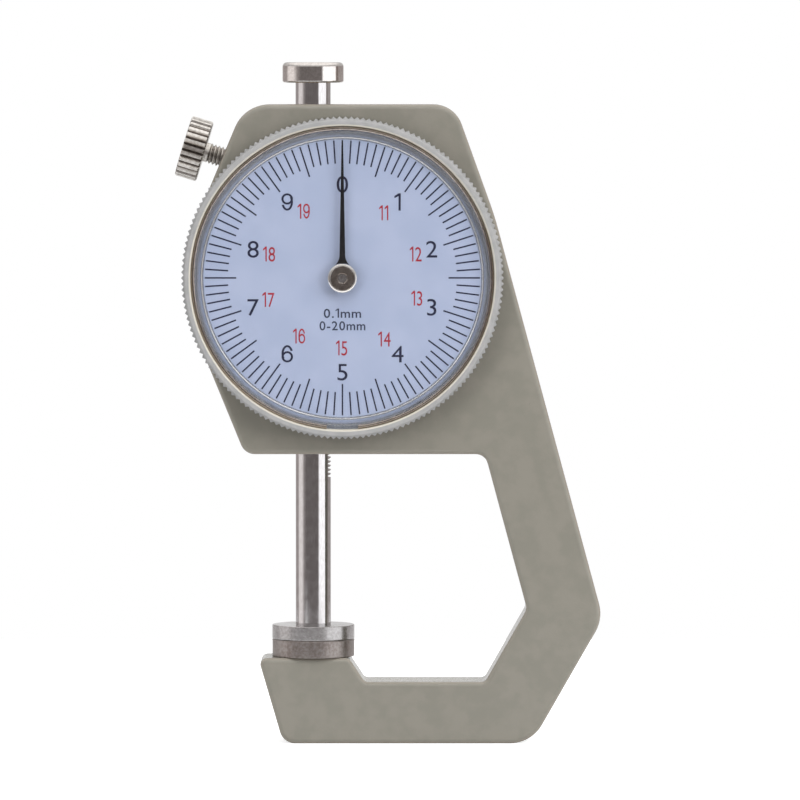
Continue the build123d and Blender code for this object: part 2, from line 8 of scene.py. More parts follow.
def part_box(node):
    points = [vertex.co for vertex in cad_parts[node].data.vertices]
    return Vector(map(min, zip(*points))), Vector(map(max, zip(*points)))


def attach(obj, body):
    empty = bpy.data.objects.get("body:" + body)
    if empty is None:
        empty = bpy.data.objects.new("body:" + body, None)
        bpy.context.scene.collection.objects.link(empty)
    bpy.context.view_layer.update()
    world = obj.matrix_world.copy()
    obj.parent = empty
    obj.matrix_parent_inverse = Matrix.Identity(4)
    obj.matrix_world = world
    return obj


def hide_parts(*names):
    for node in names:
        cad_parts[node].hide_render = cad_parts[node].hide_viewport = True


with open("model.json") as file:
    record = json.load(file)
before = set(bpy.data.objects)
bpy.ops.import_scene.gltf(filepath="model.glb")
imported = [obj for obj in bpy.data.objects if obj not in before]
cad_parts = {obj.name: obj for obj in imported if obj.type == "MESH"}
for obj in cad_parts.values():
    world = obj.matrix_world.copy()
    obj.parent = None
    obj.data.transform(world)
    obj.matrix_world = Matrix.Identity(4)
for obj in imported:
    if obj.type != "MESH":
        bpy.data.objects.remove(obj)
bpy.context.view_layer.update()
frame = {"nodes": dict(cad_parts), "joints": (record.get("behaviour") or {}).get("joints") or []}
nodes = frame["nodes"]
scene = bpy.context.scene
millimetre = 0.001


# Camera and light
# A white table before a white background, seen from the front and a little above. Steel mirrors a dark
# front, white panels at its sides, light grey above them and a white ceiling. In a mirror the table is
# darker, so that steel near it keeps its dark front.
class Wire:
    """An output of a shader node. Arithmetic on it adds Math nodes, and node() adds any other node."""

    def __init__(self, tree, output=None):
        self.tree = tree
        self.output = output

    def node(self, kind, settings, inputs, output=0):
        made = self.tree.nodes.new(kind)
        for setting, value in settings.items():
            if setting == "stops":
                set_stops(made.color_ramp, value)
            else:
                setattr(made, setting, value)
        for socket, value in inputs.items():
            if isinstance(value, Wire):
                self.tree.links.new(value.output, made.inputs[socket])
            else:
                made.inputs[socket].default_value = value
        return Wire(self.tree, made.outputs[output] if made.outputs else None)

    def math(self, operation, *values):
        return self.node("ShaderNodeMath", {"operation": operation}, dict(enumerate(values)))

    def __add__(self, other):
        return self.math("ADD", self, other)

    def __sub__(self, other):
        return self.math("SUBTRACT", self, other)

    def __rsub__(self, other):
        return self.math("SUBTRACT", other, self)

    def __mul__(self, other):
        return self.math("MULTIPLY", self, other)

    __radd__ = __add__
    __rmul__ = __mul__

    def step(self, low, high, start=0.0, end=1.0):
        """Rises smoothly from start to end while the value goes from low to high."""
        limits = {"From Min": low, "From Max": high, "To Min": start, "To Max": end}
        smooth = {"interpolation_type": "SMOOTHSTEP"}
        return self.node("ShaderNodeMapRange", smooth, {"Value": self, **limits})

    def tint(self, low, high):
        """A colour between low and high, as this value goes from 0 to 1."""
        return self.node("ShaderNodeMix", {"data_type": "RGBA"}, {0: self, 6: low, 7: high}, 2)

    def axis(self, letter):
        return self.node("ShaderNodeSeparateXYZ", {}, {0: self}, letter)


def set_stops(ramp, stops):
    """Gives a colour ramp its stops of (position, colour)."""
    while len(ramp.elements) < len(stops):
        ramp.elements.new(1.0)
    for element, (position, colour) in zip(ramp.elements, stops):
        element.position = position
        element.color = colour


def grey(level):
    return (level, level, level, 1.0)


def rays(wire, *kinds):
    """A value for each kind of ray, which is 1 for such rays."""
    return [wire.node("ShaderNodeLightPath", {}, {}, f"Is {kind} Ray") for kind in kinds]


camera_place = Vector((10.55, -902.4, 81.76)) * millimetre
camera_target = Vector((10.55, 0.0, 41.56)) * millimetre
camera = bpy.data.objects.new("camera", bpy.data.cameras.new("camera"))
camera.data.sensor_width = 36.0
camera.data.lens = 334.2
camera.data.clip_start = 0.01
camera.location = camera_place
camera.rotation_euler = (camera_target - camera_place).to_track_quat("-Z", "Y").to_euler()
scene.collection.objects.link(camera)
scene.camera = camera
scene.view_settings.view_transform = "Standard"

plain_level = 0.32
dark_front = (0.19, 0.172, 0.168, 1.0)
soft_left = (0.38, 0.35, 0.34, 1.0)
white_left = (1.05, 1.0, 0.98, 1.0)
white_right = (1.6, 1.6, 1.62, 1.0)
grey_side = (0.44, 0.40, 0.39, 1.0)
brown_edge = (0.26, 0.215, 0.195, 1.0)
white_back = grey(1.0)
above_panels = (0.62, 0.61, 0.60, 1.0)
ceiling = (1.25, 1.23, 1.2, 1.0)
side_panels = [
    (-180, white_back),
    (-162, white_back),
    (-152, grey_side),
    (-116, grey_side),
    (-104, white_left),
    (-78, white_left),
    (-62, soft_left),
    (-47, dark_front),
    (33, dark_front),
    (41, white_right),
    (92, white_right),
    (98, brown_edge),
    (104, brown_edge),
    (113, grey_side),
    (152, grey_side),
    (162, white_back),
    (180, white_back),
]
world = bpy.data.worlds.new("studio")
world.use_nodes = True
world.node_tree.nodes.clear()
studio = Wire(world.node_tree)
ray = studio.node("ShaderNodeTexCoord", {}, {})
east, south, up = ray.axis("X"), ray.axis("Y") * -1.0, ray.axis("Z")
turn = east.math("ARCTAN2", east, south) * (0.5 / pi) + 0.5
stops = [(angle / 360 + 0.5, colour) for angle, colour in side_panels]
panels = turn.node("ShaderNodeValToRGB", {"stops": stops}, {"Fac": turn})
panel_top = (0.1, 0.24)
ceiling_edge = (0.35, 0.75)
walls = up.step(*panel_top).tint(panels, above_panels)
room = up.step(*ceiling_edge).tint(walls, ceiling)
looked_at, mirrored, passed = rays(studio, "Camera", "Glossy", "Transmission")
reflected = (mirrored + passed).tint(grey(plain_level), room)
sky = looked_at.tint(reflected, grey(1.0))
glow = sky.node("ShaderNodeBackground", {}, {"Color": sky, "Strength": 1.0})
glow.node("ShaderNodeOutputWorld", {}, {"Surface": glow})
scene.world = world

lamps = {
    "right": ((480, -500, 240), 480, 2.3),
    "top": ((60, -420, 640), 600, 2.3),
    "left": ((-420, -620, 120), 420, 1.1),
    "back": ((180, 640, 300), 520, 2.6),
}
for name, (place, size, power) in lamps.items():
    light = bpy.data.lights.new(name, "AREA")
    light.size = size * millimetre
    light.energy = power
    lamp = bpy.data.objects.new(name, light)
    lamp.location = Vector(place) * millimetre
    lamp.rotation_euler = (camera_target - lamp.location).to_track_quat("-Z", "Y").to_euler()
    lamp.visible_glossy = False
    lamp.visible_transmission = False
    scene.collection.objects.link(lamp)


def blank(name):
    """A new material with an empty tree. Returns it and a Wire of the piece's own coordinates, in metres."""
    material = bpy.data.materials.new(name)
    material.use_nodes = True
    material.node_tree.nodes.clear()
    return material, Wire(material.node_tree).node("ShaderNodeTexCoord", {}, {}, "Object")


def shape_mesh(name, shape, place, material, corner=35):
    """Makes a bmesh an object with its place in its mesh, smooth up to a corner angle in degrees."""
    shape.transform(place)
    mesh = bpy.data.meshes.new(name)
    shape.to_mesh(mesh)
    shape.free()
    mesh.shade_smooth()
    mesh.set_sharp_from_angle(angle=radians(corner))
    mesh.materials.append(material)
    made = bpy.data.objects.new(name, mesh)
    scene.collection.objects.link(made)
    return made


floor_half = 0.16
table_grey = 0.8
white_glow = 0.74
mirrored_glow = 0.1
table_white, spot = blank("table_white")
lit = spot.node("ShaderNodeBsdfDiffuse", {}, {"Color": grey(table_grey)})
looked_at, mirrored, passed = rays(spot, "Camera", "Glossy", "Transmission")
shown = (looked_at + passed) * white_glow + mirrored * mirrored_glow
bloom = spot.node("ShaderNodeEmission", {}, {"Color": grey(1.0), "Strength": shown})
both = spot.node("ShaderNodeAddShader", {}, {0: lit, 1: bloom})
both.node("ShaderNodeOutputMaterial", {}, {"Surface": both})
table = bmesh.new()
bmesh.ops.create_grid(table, x_segments=8, y_segments=8, size=floor_half)
floor = shape_mesh("table", table, Matrix.Identity(4), table_white)


# Frame
# One die casting of zinc alloy: the anvil's arm, the slanted limb and the dial head. It is stove enamelled in
# a grey green with fine orange peel and some dust. A lighter tan on the rounded edges is a painted highlight.
def paint(red, green, blue):
    """A colour as it should appear, from 0 to 255, in linear light."""
    def linear(value):
        share = value / 255
        return share / 12.92 if share <= 0.04045 else ((share + 0.055) / 1.055) ** 2.4
    return (linear(red), linear(green), linear(blue), 1.0)


def specks(place, size, share=0.5, detail=2.0, stretch=(1, 1, 1)):
    """Noise with lumps of about size millimetres, from 0 to 1."""
    scale = [1 / (size * millimetre * part) for part in stretch]
    spread = place.node("ShaderNodeVectorMath", {"operation": "MULTIPLY"}, {0: place, 1: scale})
    inputs = {"Vector": spread, "Scale": 1.0, "Detail": detail, "Roughness": share}
    return place.node("ShaderNodeTexNoise", {}, inputs)


def relief(height, depth):
    """The normal of a surface with bumps up to depth millimetres high."""
    inputs = {"Strength": 1.0, "Distance": depth * millimetre, "Height": height}
    return height.node("ShaderNodeBump", {}, inputs)


def coat(material, wire, **inputs):
    """Gives a material its Principled surface. Names are the sockets' names with underscores."""
    sockets = {name.replace("_", " "): value for name, value in inputs.items()}
    skin = wire.node("ShaderNodeBsdfPrincipled", {}, sockets)
    skin.node("ShaderNodeOutputMaterial", {}, {"Surface": skin})
    return material


def levels(node, axis):
    """A node's low and high coordinates along an axis, in millimetres."""
    low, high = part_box(node)
    return low[axis] / millimetre, high[axis] / millimetre


def dress(material, *names):
    """Gives CAD nodes a material."""
    for name in names:
        nodes[name].data.materials.clear()
        nodes[name].data.materials.append(material)


half_thickness = levels("frame", 1)[1]
enamel, place = blank("frame_enamel")
cloud = specks(place, 2.6, 0.55, 3.0)
peel = specks(place, 0.35, 0.6, 2.0)
dust = specks(place, 1.1, 0.7, 3.0).step(0.72, 0.78)
across = place.axis("Y") * (1 / millimetre)
from_centre = across.math("ABSOLUTE", across)
past_rim = from_centre.step(half_thickness - 0.22, half_thickness - 0.03)
# A lighter tan band along the rounded edges: painted highlight.
rim_highlight = from_centre.step(half_thickness - 0.7, half_thickness - 0.4) - past_rim
body_colour = cloud.step(0.35, 0.65).tint(paint(139, 136, 126), paint(145, 141, 131))
rim_highlighted = (rim_highlight * 0.7).tint(body_colour, paint(166, 158, 146))
spotted = (dust * 0.3).tint(rim_highlighted, paint(98, 96, 87))
coat(
    enamel,
    place,
    Base_Color=spotted,
    Metallic=0.0,
    Roughness=peel.step(0.3, 0.7, 0.17, 0.26),
    IOR=1.5,
    Normal=relief(peel * 0.7 + cloud * 0.3, 0.02),
)
dress(enamel, "frame")


# Guide bushes
# Two reamed bronze bushes pressed into the head, one at its top and one at its foot, of which only the end
# faces show.
def metal(name, dark, light, rough, grain, depth, stretch=(1, 1, 1)):
    """A bare metal with a grain of about grain millimetres, stretched along its working, and with stains."""
    material, place = blank(name)
    fine = specks(place, grain, 0.6, 3.0, stretch)
    stain = specks(place, grain * 9, 0.5, 2.0)
    shade = fine.step(0.3, 0.7) * 0.6 + stain.step(0.3, 0.7) * 0.4
    return coat(
        material,
        place,
        Base_Color=shade.tint((*dark, 1.0), (*light, 1.0)),
        Metallic=1.0,
        Roughness=stain.step(0.3, 0.7, rough * 0.85, rough * 1.2),
        Normal=relief(fine, depth),
    )


def spin(shape, steps, turn=2 * pi, rise=0.0):
    """Turns all of a shape about Z, and up by rise if it is given. A whole turn closes on itself."""
    parts = shape.verts[:] + shape.edges[:]
    whole = turn == 2 * pi and rise == 0
    step = (0, 0, rise / steps)
    bmesh.ops.spin(shape, geom=parts, axis=(0, 0, 1), dvec=step, angle=turn, steps=steps, use_merge=whole)
    bmesh.ops.remove_doubles(shape, verts=shape.verts, dist=1e-4)
    if not whole:
        bmesh.ops.holes_fill(shape, edges=shape.edges, sides=0)
    bmesh.ops.recalc_face_normals(shape, faces=shape.faces)


def turned(corners, steps=144):
    """A bmesh turned about Z from its half section of (radius, height, rounding) corners, in millimetres.

    Support points just beyond each rounding keep the flats' shading flat."""
    shape = bmesh.new()
    support = 0.03
    places = [Vector((radius, 0, height)) for radius, height, rounding in corners]
    points = []
    rounded = []
    for index, (place, (radius, height, rounding)) in enumerate(zip(places, corners)):
        before = (places[index - 1] - place).normalized()
        after = (places[(index + 1) % len(places)] - place).normalized()
        point = shape.verts.new(place)
        if rounding:
            rounded.append((point, rounding))
            points.append(shape.verts.new(place + before * (rounding + support)))
            points.append(point)
            points.append(shape.verts.new(place + after * (rounding + support)))
        else:
            points.append(point)
    for pair in zip(points, points[1:]):
        shape.edges.new(pair)
    if corners[0][0] > 0:
        shape.edges.new((points[-1], points[0]))
    for point, rounding in rounded:
        fine = 3 + int(rounding * 8)
        bmesh.ops.bevel(
            shape, geom=[point], offset=rounding, segments=fine, profile=0.5, affect="VERTICES", material=-1
        )
    spin(shape, steps)
    return shape


upright = Matrix.Scale(millimetre, 4)
bronze = metal("bush_bronze", (0.36, 0.22, 0.10), (0.62, 0.42, 0.20), rough=0.35, grain=0.08, depth=0.004)
bush_radius = levels("upper_bush", 0)[1]
bush_bore = levels("spindle", 0)[1] + 0.04
mouth_rounding = 0.12
rim_rounding = 0.1
for name in ("upper_bush", "lower_bush"):
    low, high = levels(name, 2)
    section = [
        (bush_bore, low, mouth_rounding),
        (bush_radius, low, rim_rounding),
        (bush_radius, high, rim_rounding),
        (bush_bore, high, mouth_rounding),
    ]
    bush = shape_mesh(f"{name}_turned", turned(section, 96), upright, bronze)
    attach(bush, "frame")
    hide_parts(name)


# Pins and posts
# Hardened silver-steel pins: the spindle's guide pin and spring pin, and the spring's post in the frame. They
# are pressed in and stay bright, with a centreless-ground grain.
pin_steel = metal("pin_steel", (0.34, 0.33, 0.33), (0.55, 0.54, 0.54), rough=0.25, grain=0.05, depth=0.002)
dress(pin_steel, "guide_pin", "spring_pin", "spring_post")


# Anvil
# A hardened steel disc with a stem pressed into the arm. Its rim was ground and has gone brown in clouds.
anvil_steel = metal(
    "anvil_steel", (0.24, 0.20, 0.185), (0.43, 0.395, 0.38), rough=0.33, grain=0.35, depth=0.001
)
stem_radius = 2.0
stem_low, anvil_high = levels("anvil", 2)
seat_height = 10.4
anvil_low = levels("frame", 2)[0] + seat_height
disc_radius = levels("anvil", 0)[1]
section = [
    (0, stem_low, 0),
    (stem_radius, stem_low, 0.3),
    (stem_radius, anvil_low, 0),
    (disc_radius, anvil_low, 0.1),
    (disc_radius, anvil_high, 0.14),
    (0, anvil_high, 0),
]
anvil = shape_mesh("anvil_turned", turned(section, 180), upright, anvil_steel)
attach(anvil, "frame")
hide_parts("anvil")


# Contact
# A like disc on the spindle's lower end, pressed onto its stud and ground bright.
contact_steel = metal(
    "contact_steel", (0.38, 0.36, 0.36), (0.58, 0.57, 0.57), rough=0.23, grain=0.30, depth=0.0006
)
seat_gap = 0.01
contact_stud_radius = 1.25
contact_low, contact_high = levels("contact", 2)
socket_low = levels("spindle", 2)[0] - seat_gap
socket_radius = contact_stud_radius + seat_gap
section = [
    (0, contact_low, 0),
    (disc_radius, contact_low, 0.16),
    (disc_radius, contact_high, 0.1),
    (socket_radius, contact_high, 0),
    (socket_radius, socket_low, 0),
    (0, socket_low, 0),
]
contact = shape_mesh("contact_turned", turned(section, 180), upright, contact_steel)
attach(contact, "spindle")
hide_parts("contact")


# Spindle
# A round rod of hardened steel with a rack milled into its right side, centreless ground and polished.
spindle_steel = metal(
    "spindle_steel",
    (0.54, 0.52, 0.52),
    (0.68, 0.67, 0.68),
    rough=0.09,
    grain=0.1,
    depth=0.0006,
    stretch=(1, 1, 8),
)
dress(spindle_steel, "spindle")


# Lift button
# A turned and chrome-plated cap on the spindle's top end, pressed onto its stud. The spindle is lifted by it.
button_chrome = metal(
    "button_chrome", (0.58, 0.54, 0.52), (0.80, 0.77, 0.75), rough=0.08, grain=0.3, depth=0.001
)
button_low, button_high = levels("lift_button", 2)
button_radius = levels("lift_button", 0)[1]
button_stud_radius = 1.5
button_stud_length = 1.5
bore_radius = button_stud_radius + seat_gap
bore_high = button_low + button_stud_length + seat_gap
section = [
    (0, bore_high, 0),
    (bore_radius, bore_high, 0),
    (bore_radius, button_low, 0),
    (button_radius, button_low, 0.3),
    (button_radius, button_high, 0.55),
    (0, button_high, 0),
]
button = shape_mesh("lift_button_turned", turned(section), upright, button_chrome)
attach(button, "spindle")
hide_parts("lift_button")


# Return spring
# A coil of drawn spring steel with an eye at each end, hooked over the post and the spring pin. The wire that
# holds the bezel on the frame is of the same steel.
spring_steel = metal(
    "spring_steel", (0.30, 0.30, 0.31), (0.52, 0.52, 0.54), rough=0.28, grain=0.06, depth=0.002
)
dress(spring_steel, "return_spring", "bezel_wire")


# Movement
# The pointer's arbor with its pinion runs in two brass bearings, one in the frame's floor and one in a brass
# cock that two screws hold. A flat bronze spring on a brass collet takes up the play of the teeth.
arbor_steel = metal(
    "arbor_steel", (0.40, 0.39, 0.39), (0.60, 0.59, 0.60), rough=0.18, grain=0.05, depth=0.001
)
dress(arbor_steel, "pinion_arbor")
brass = metal("turned_brass", (0.52, 0.37, 0.14), (0.76, 0.58, 0.27), rough=0.28, grain=0.09, depth=0.003)
dress(brass, "rear_bearing", "front_bearing", "cock", "pointer_sleeve")
dress(brass, "hairspring_collet", "hairspring_stud")
screw_steel = metal("screw_steel", (0.30, 0.30, 0.31), (0.55, 0.55, 0.56), rough=0.3, grain=0.06, depth=0.002)
dress(screw_steel, "cock_screws")
spring_bronze = metal(
    "hairspring_bronze", (0.42, 0.27, 0.12), (0.66, 0.46, 0.24), rough=0.3, grain=0.05, depth=0.001
)
dress(spring_bronze, "hairspring")


# Bezel
# An aluminium ring, turned, knurled on its rim and coated in a pale grey. Its lip is bevelled inside, over
# the snap ring. A cream painted highlight lies on that bevel, and the bore under the lip is painted darker as
# painted shade.
def knurl(shape, tip, depth, teeth, crest=0.0):
    """Clips a turned shape to an outline of teeth. crest is the half width of their tops, in pitches."""
    for vert in shape.verts:
        reach = hypot(vert.co.x, vert.co.y)
        phase = (atan2(vert.co.y, vert.co.x) * teeth / (2 * pi) + 0.5) % 1 - 0.5
        groove = depth * max(0.0, abs(phase) - crest) / (0.5 - crest)
        if reach > tip - groove:
            vert.co.xy *= (tip - groove) / reach
    bmesh.ops.remove_doubles(shape, verts=shape.verts, dist=1e-4)
    bmesh.ops.recalc_face_normals(shape, faces=shape.faces)


dial_low, dial_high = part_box("dial_plate")
dial_centre = (dial_low + dial_high) / 2
facing = Matrix.Translation((dial_centre.x, 0, dial_centre.z)) @ Matrix.Rotation(pi / 2, 4, "X") @ upright
dial_radius = (dial_high.x - dial_low.x) / 2 / millimetre
dial_back, dial_front = [-depth for depth in reversed(levels("dial_plate", 1))]
bezel_back, bezel_front = [-depth for depth in reversed(levels("bezel", 1))]
ring_back, ring_front = [-depth for depth in reversed(levels("snap_ring", 1))]


def from_middle(place):
    """The distance from the dial's axis, in millimetres."""
    east = place.axis("X") - dial_centre.x
    rise = place.axis("Z") - dial_centre.z
    square = east * east + rise * rise
    return square.math("SQRT", square) * (1 / millimetre)


bezel_teeth = 170
tooth_depth = 0.3
bezel_tip = levels("bezel", 0)[1] - dial_centre.x / millimetre
bezel_root = bezel_tip - tooth_depth
knurl_front = bezel_front - 0.55
shoulder_front = bezel_front - 0.45
lip_bore = 18.32
lip_bevel = 0.16
wire_room = 0.05
skirt_bore = 17.49
bead_bore = 18.24
plate_bore = dial_radius + 0.04
ledge_bore = dial_radius - 0.9
ledge_back = dial_back - 0.3
section = [
    (bezel_tip, bezel_back, 0),
    (bezel_tip, knurl_front, 0),
    (bezel_root, shoulder_front, 0),
    (bezel_root, bezel_front, 0.28),
    (lip_bore + lip_bevel, bezel_front, 0.05),
    (lip_bore, bezel_front - lip_bevel, 0.04),
    (lip_bore, ring_front + 0.03, 0),
    (lip_bore + wire_room, ring_front, 0),
    (lip_bore + wire_room, ring_back, 0),
    (bead_bore, ring_back, 0),
    (bead_bore, dial_front, 0),
    (plate_bore, dial_front, 0),
    (plate_bore, dial_back, 0),
    (ledge_bore, dial_back, 0),
    (ledge_bore, ledge_back, 0),
    (skirt_bore, ledge_back, 0),
    (skirt_bore, bezel_back, 0.1),
]
bezel_grey, place = blank("bezel_grey")
cloud = specks(place, 1.4, 0.5, 3.0)
peel = specks(place, 0.12, 0.6, 2.0)
out = from_middle(place)
# The lip's inner bevel is painted cream (painted highlight), and the bore under it a darker blue grey
# (painted shade).
bevel_highlight = out.step(lip_bore + lip_bevel + 0.09, lip_bore + lip_bevel - 0.04)
bore_shade = out.step(lip_bore - 0.02, lip_bore - 0.06)
coating = cloud.step(0.3, 0.7).tint(paint(165, 165, 165), paint(177, 176, 176))
bevel_highlighted = bevel_highlight.tint(coating, paint(228, 222, 207))
coat(
    bezel_grey,
    place,
    Base_Color=bore_shade.tint(bevel_highlighted, paint(150, 153, 160)),
    Metallic=0.0,
    Roughness=peel.step(0.3, 0.7, 0.32, 0.42),
    IOR=1.5,
    Normal=relief(peel, 0.006),
)
ring = turned(section, bezel_teeth * 4)
knurl(ring, bezel_tip, tooth_depth, bezel_teeth)
bezel = shape_mesh("bezel_turned", ring, facing, bezel_grey)
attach(bezel, "bezel")
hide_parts("bezel")


# Dial plate
# A thin aluminium disc printed with a pale blue ground, 100 divisions, black figures for the first turn and
# red ones for the second. Its zero stands under the pointer.
divisions = 100
print_rise = 0.012
tick_outer = 16.6
tick_inner = 13.8
long_tick_inner = 12.8
tick_width = 0.18
dial_blue, place = blank("dial_blue")
cloud = specks(place, 4.0, 0.5, 2.0)
peel = specks(place, 0.1, 0.6, 2.0)
coat(
    dial_blue,
    place,
    Base_Color=cloud.step(0.3, 0.7).tint(paint(174, 186, 215), paint(181, 192, 220)),
    Metallic=0.0,
    Roughness=0.55,
    Normal=relief(peel, 0.002),
)
dress(dial_blue, "dial_plate")


def ink(name, colour):
    """A printing ink that covers a little unevenly."""
    material, place = blank(name)
    cover = specks(place, 0.08, 0.6, 2.0)
    darker = [channel * 0.8 for channel in colour[:3]] + [1.0]
    shade = cover.step(0.35, 0.65).tint(darker, colour)
    return coat(material, place, Base_Color=shade, Roughness=0.5, Normal=relief(cover, 0.001))


def print_on_dial(name, shape, material):
    """Lays a flat shape on the dial plate's front."""
    made = shape_mesh(name, shape, facing @ Matrix.Translation((0, 0, dial_front + print_rise)), material)
    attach(made, "bezel")


def bow(shape, centre, radii, start, end, width):
    """Adds a flat stroke along an ellipse, clockwise from a start to an end angle in degrees."""
    strip = bmesh.ops.create_grid(shape, x_segments=40, y_segments=1, size=0.5)
    for vert in strip["verts"]:
        angle = radians(start + (end - start) * (vert.co.x + 0.5))
        outward = Vector((cos(angle) * radii[1], sin(angle) * radii[0], 0)).normalized()
        on_ellipse = Vector((cos(angle) * radii[0], sin(angle) * radii[1], 0))
        vert.co = Vector(centre) + on_ellipse + outward * (vert.co.y * width)


def glyph(character, bold):
    """A flat bmesh of one character, its left foot at the origin, in which figures are 1 high."""
    shape = bmesh.new()
    if character in "69":
        stroke = 0.115 + bold * 2
        half_width = 0.31
        reach = half_width - stroke / 2
        bowl = 0.325
        tail_layer = 0.003
        bow(shape, (half_width, 1 - bowl, 0), (reach, bowl - stroke / 2), 360, 0, stroke)
        bow(shape, (half_width, 0.5, tail_layer), (reach, 0.5 - stroke / 2), 40, -158, stroke)
        if character == "6":
            middle = Matrix.Translation((half_width, 0.5, 0))
            shape.transform(middle @ Matrix.Rotation(pi, 4, "Z") @ middle.inverted())
        return shape
    if character == "1":
        stroke = 0.12 + bold * 2
        stem_middle = 0.28
        flag_reach = 0.22
        stem = Matrix.Translation((stem_middle, 0.5, 0)) @ Matrix.Diagonal((stroke, 1, 1, 1))
        bmesh.ops.create_grid(shape, x_segments=1, y_segments=1, size=0.5, matrix=stem)
        flag = ((0, 0.72, 0), (flag_reach, 0.84, 0), (flag_reach, 1, 0), (0, 0.84, 0))
        shape.faces.new([shape.verts.new(corner) for corner in flag])
        return shape
    curve = bpy.data.curves.new(character, "FONT")
    curve.body = character
    curve.offset = bold
    words = bpy.data.objects.new(character, curve)
    mesh = bpy.data.meshes.new_from_object(words)
    shape.from_mesh(mesh)
    figure_height = 0.72
    left = min(vert.co.x for vert in shape.verts)
    shape.transform(Matrix.Scale(1 / figure_height, 4) @ Matrix.Translation((-left, 0, 0)))
    bpy.data.objects.remove(words)
    bpy.data.curves.remove(curve)
    bpy.data.meshes.remove(mesh)
    return shape


def figure(text, height, x, y, wide=1.0, bold=0.0):
    """A flat bmesh of words or a number, centred on x and y, with figures of the given height."""
    spacing = 0.17
    line = bmesh.new()
    pen = 0.0
    for character in text:
        one = glyph(character, bold)
        width = max(vert.co.x for vert in one.verts)
        one.transform(Matrix.Translation((pen, 0, 0)))
        mesh = bpy.data.meshes.new(character)
        one.to_mesh(mesh)
        one.free()
        line.from_mesh(mesh)
        bpy.data.meshes.remove(mesh)
        pen += width + spacing
    grow = Matrix.Diagonal((height * wide, height, 1, 1))
    line.transform(Matrix.Translation((x, y, 0)) @ grow @ Matrix.Translation(((spacing - pen) / 2, -0.5, 0)))
    return line


def polar(radius, clock_angle):
    """A place on the dial, its angle in degrees clockwise from the top."""
    return radius * sin(radians(clock_angle)), radius * cos(radians(clock_angle))


black_ink = ink("dial_black", paint(18, 24, 60))
red_ink = ink("dial_red", paint(178, 34, 54))
slate_ink = ink("dial_slate", paint(46, 55, 84))
ticks = bmesh.new()
for mark in range(divisions):
    inner = tick_inner if mark % 5 else long_tick_inner
    stretch = Matrix.Diagonal((tick_width, tick_outer - inner, 1, 1))
    swing = Matrix.Rotation(-2 * pi * mark / divisions, 4, "Z")
    reach = swing @ Matrix.Translation((0, (tick_outer + inner) / 2, 0)) @ stretch
    bmesh.ops.create_grid(ticks, x_segments=1, y_segments=1, size=0.5, matrix=reach)
print_on_dial("dial_divisions", ticks, black_ink)
black_radius = 11.32
black_height = 2.08
black_wide = 1.08
for digit in range(10):
    x, y = polar(black_radius, 36 * digit)
    print_on_dial(f"dial_figure_{digit}", figure(str(digit), black_height, x, y, black_wide), black_ink)
red_height = 1.8
red_wide = 0.72
red_places = {
    11: (9.3, 32.4),
    12: (9.3, 71.9),
    13: (9.3, 105.2),
    14: (8.95, 145.5),
    15: (8.45, 180.7),
    16: (8.75, 216.7),
    17: (9.3, 253.7),
    18: (9.3, 288.1),
    19: (9.3, 329.9),
}
for number, (radius, angle) in red_places.items():
    x, y = polar(radius, angle)
    print_on_dial(f"dial_figure_{number}", figure(str(number), red_height, x, y, red_wide), red_ink)
slate_height = 1.1
slate_bold = 0.012
for name, words, y, wide in (("step", "0.1mm", -4.25, 1.09), ("range", "0-20mm", -5.75, 1.0)):
    print_on_dial(f"dial_{name}", figure(words, slate_height, 0, y, wide, slate_bold), slate_ink)


# Pointer
# A black enamelled steel hand under a bright turned cap with a sunken face, riveted on the arbor.
pointer_black, place = blank("pointer_black")
peel = specks(place, 0.1, 0.6, 2.0)
coat(
    pointer_black,
    place,
    Base_Color=peel.step(0.3, 0.7).tint(paint(6, 6, 9), paint(14, 13, 18)),
    Metallic=0.0,
    Roughness=0.4,
    Specular_IOR_Level=0.2,
    Normal=relief(peel, 0.002),
)
hand_back, hand_front = [-depth for depth in reversed(levels("pointer", 1))]
hand_length = levels("pointer", 2)[1] - dial_centre.z / millimetre
hand_tip = 0.09
hand_root = 0.34
boss_radius = 1.75
flare_start = 2.9
flare_length = flare_start - boss_radius * 0.85
flare_width = 0.62
flare_power = 2.5
hand = bmesh.new()
bmesh.ops.create_circle(hand, segments=64, radius=boss_radius, cap_ends=True)
right_side = [(hand_tip, hand_length)]
for share in (0.0, 0.25, 0.5, 0.7, 0.85, 1.0):
    right_side.append((hand_root + flare_width * share**flare_power, flare_start - flare_length * share))
left_side = [(-x, y) for x, y in reversed(right_side)]
hand.faces.new([hand.verts.new((x, y, 0)) for x, y in right_side + left_side])
sheet = bmesh.ops.extrude_face_region(hand, geom=hand.faces[:])
lifted = [part for part in sheet["geom"] if isinstance(part, bmesh.types.BMVert)]
bmesh.ops.translate(hand, verts=lifted, vec=(0, 0, hand_front - hand_back))
bmesh.ops.translate(hand, verts=hand.verts, vec=(0, 0, hand_back))
bmesh.ops.recalc_face_normals(hand, faces=hand.faces)
pointer = shape_mesh("pointer_hand", hand, facing, pointer_black)
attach(pointer, "pointer")
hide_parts("pointer")
hub_back, hub_front = [-depth for depth in reversed(levels("pointer_hub", 1))]
hub_radius = (levels("pointer_hub", 0)[1] - levels("pointer_hub", 0)[0]) / 2
hub_face = hub_front - 0.15
face_radius = 1.45
arbor_bore = 0.51
rivet_radius = 0.6
rivet_front = hub_front - 0.03
hub_chrome, place = blank("hub_chrome")
stain = specks(place, 0.5, 0.5, 3.0)
# The cap's sunken face is painted dark brown-grey as a painted reflection of the dark front; its rim stays
# bright chrome.
dark_face_reflection = stain.step(0.3, 0.7).tint((0.30, 0.26, 0.23, 1.0), (0.44, 0.40, 0.37, 1.0))
outer = from_middle(place).step(face_radius, face_radius + 0.04)
coat(
    hub_chrome,
    place,
    Base_Color=outer.tint(dark_face_reflection, (0.86, 0.83, 0.79, 1.0)),
    Metallic=1.0,
    Roughness=0.16,
    Normal=relief(stain, 0.0004),
)
